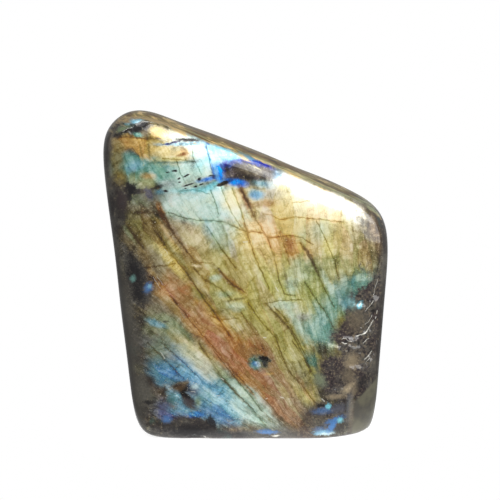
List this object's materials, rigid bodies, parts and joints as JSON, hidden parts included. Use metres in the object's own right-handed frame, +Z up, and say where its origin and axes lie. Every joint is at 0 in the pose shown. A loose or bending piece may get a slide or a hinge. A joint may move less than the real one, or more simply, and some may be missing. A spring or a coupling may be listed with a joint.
{
  "type": "polished labradorite free form",
  "caption": "Standing polished labradorite free form with a slanting top, soft ground edges and a flat cut base, for display on a shelf.",
  "frame": {"origin": "middle of the stone's footprint, on the plane of the cut base", "axes": "+Z up, -Y towards the broad front face that flashes, +X to the low side of the slanting top"},
  "size_m": [0.087, 0.0458, 0.0984],
  "materials": {
    "labradorite": "polished dark feldspar with blue, green and gold flashes of colour"
  },
  "bodies": {
    "root": {"labradorite_stone": "labradorite"}
  },
  "joints": []
}
